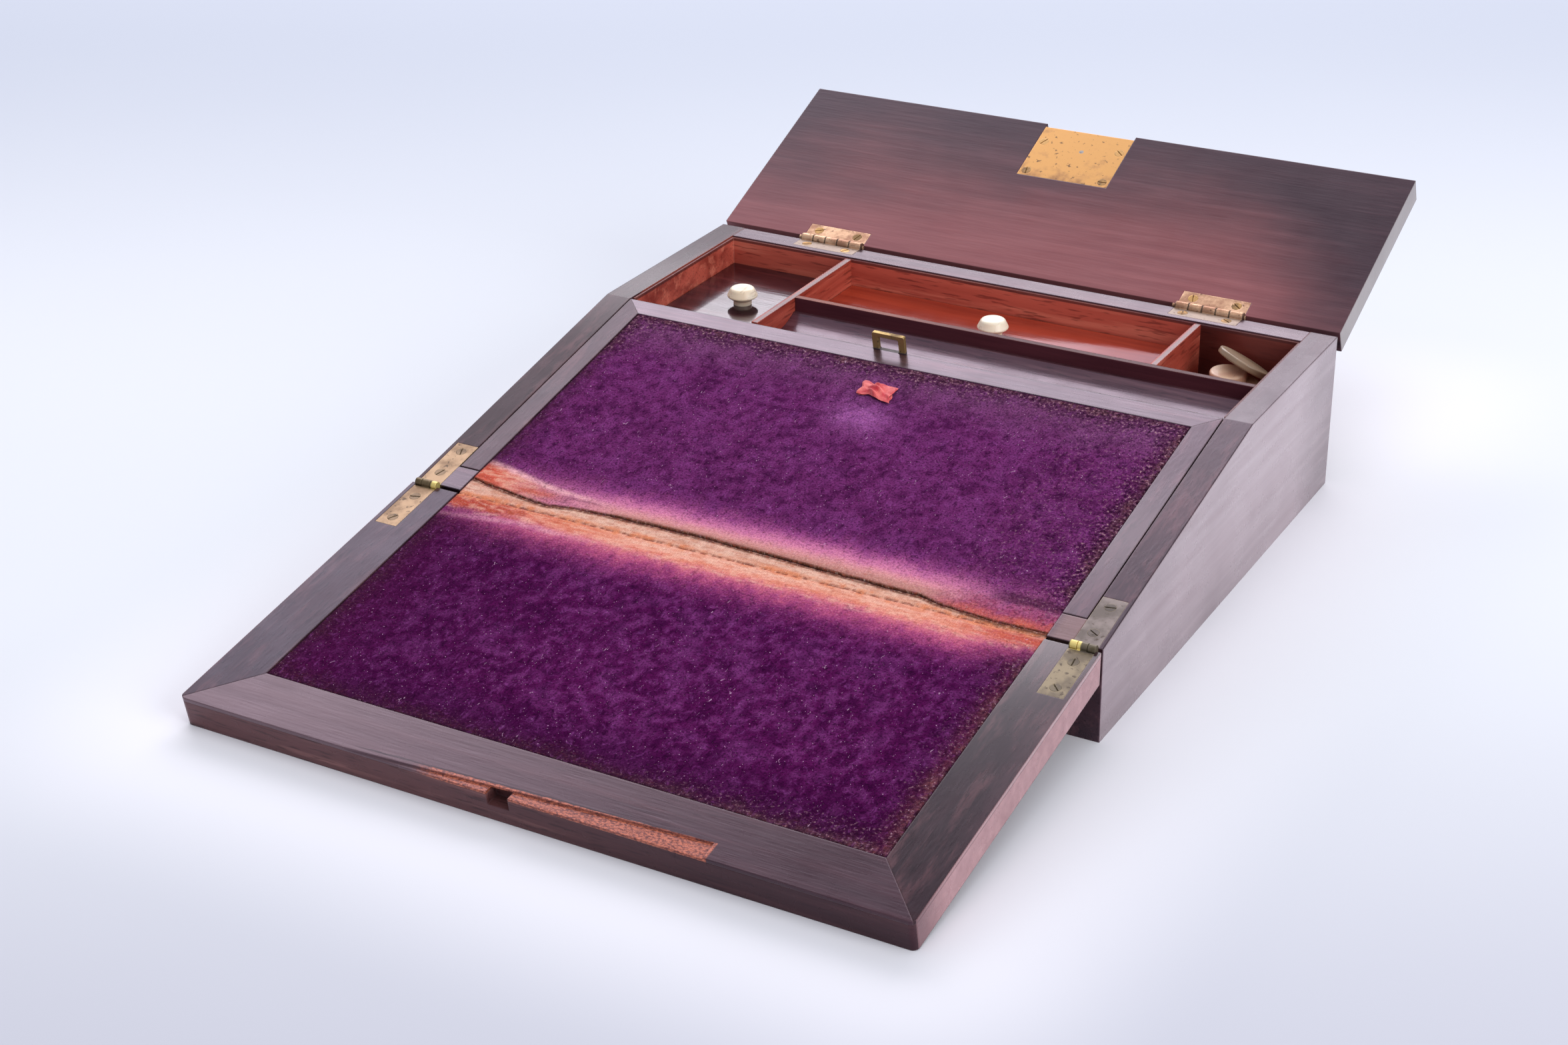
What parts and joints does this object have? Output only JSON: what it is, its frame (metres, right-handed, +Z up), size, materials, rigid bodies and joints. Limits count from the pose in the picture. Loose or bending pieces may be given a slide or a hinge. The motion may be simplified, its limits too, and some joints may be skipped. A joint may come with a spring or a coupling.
{
  "type": "writing slope",
  "caption": "Portable writing slope: a wedge-shaped wooden box with a rear well for pens and ink, a hinged lid with a lock, and two velvet-faced flaps that open to one sloping writing surface.",
  "frame": {"origin": "middle of the case's underside, on the table", "axes": "+X to the writer's right, +Y from the front edge to the back, +Z up"},
  "size_m": [0.305, 0.4999, 0.1091],
  "materials": {
    "rosewood": "french polished, dark",
    "mahogany": "oiled, red",
    "brass": "aged, spotted",
    "steel": "dull",
    "bone": "turned and polished",
    "velvet": "worn pile",
    "ribbon": "silk"
  },
  "bodies": {
    "case": {"case_left_side": "rosewood", "case_right_side": "rosewood", "case_front": "rosewood", "case_back": "rosewood", "case_bottom": "rosewood", "front_rail_velvet": "velvet", "tray_bulkhead": "mahogany", "flap_bearers": "mahogany", "well_lining": "mahogany", "left_partition": "mahogany", "tray_divider": "mahogany", "right_partition": "mahogany", "pen_tray": "mahogany", "left_cover_ledges": "mahogany", "middle_cover_ledges": "mahogany", "right_cell_floor": "mahogany", "loose_bone_counters": "bone", "flap_hinge_case_leaves": "brass", "flap_hinge_case_screws": "brass", "flap_hinge_pins": "brass", "lid_hinge_case_leaves": "brass", "lid_hinge_case_screws": "brass", "lid_hinge_pins": "brass"},
    "lid": {"lid_board": "rosewood", "lid_hinge_lid_leaves": "brass", "lid_hinge_lid_screws": "brass", "lock_plate": "brass", "lock_plate_screws": "brass", "lock_body": "brass", "lock_key_pin": "steel", "lock_spring": "steel", "keyhole_escutcheon": "brass"},
    "lock_bolt": {"lock_bolt": "brass"},
    "lower_flap": {"lower_flap_board": "rosewood", "lower_flap_left_band": "rosewood", "lower_flap_right_band": "rosewood", "lower_flap_free_band": "rosewood", "lower_flap_velvet": "velvet", "flap_hinge_flap_leaves": "brass", "flap_hinge_flap_screws": "brass"},
    "upper_flap": {"upper_flap_board": "rosewood", "upper_flap_left_band": "rosewood", "upper_flap_right_band": "rosewood", "upper_flap_top_band": "rosewood", "upper_flap_velvet": "velvet", "ribbon_pull": "ribbon", "lock_staple": "brass", "staple_pins": "brass"},
    "left_cover": {"left_cover": "mahogany", "left_cover_knob": "bone"},
    "middle_cover": {"middle_cover": "mahogany", "middle_cover_knob": "bone"}
  },
  "joints": [
    {"name": "lid_hinge", "type": "hinge", "parent": "case", "child": "lid", "pos_m": [0, 0.126, 0.06915], "axis": [1, 0, 0], "range_deg": [0, 157.2]},
    {"name": "lower_flap_fold", "type": "hinge", "parent": "case", "child": "lower_flap", "pos_m": [0, -0.12605, 0.03909], "axis": [-1, 0, 0], "range_deg": [0, 178.21]},
    {"name": "upper_flap_lift", "type": "hinge", "parent": "case", "child": "upper_flap", "pos_m": [0, -0.11071, 0.04182], "axis": [-1, 0, 0], "range_deg": [-110, 0]},
    {"name": "left_cover_lift", "type": "slide", "parent": "case", "child": "left_cover", "axis": [0, 0, -1], "range_m": [-0.04, 0]},
    {"name": "middle_cover_lift", "type": "slide", "parent": "case", "child": "middle_cover", "axis": [0, 0, -1], "range_m": [-0.04, 0]},
    {"name": "lock_bolt_throw", "type": "slide", "parent": "lid", "child": "lock_bolt", "axis": [0, 0.9219, 0.3875], "range_m": [0, 0.0075]}
  ]
}
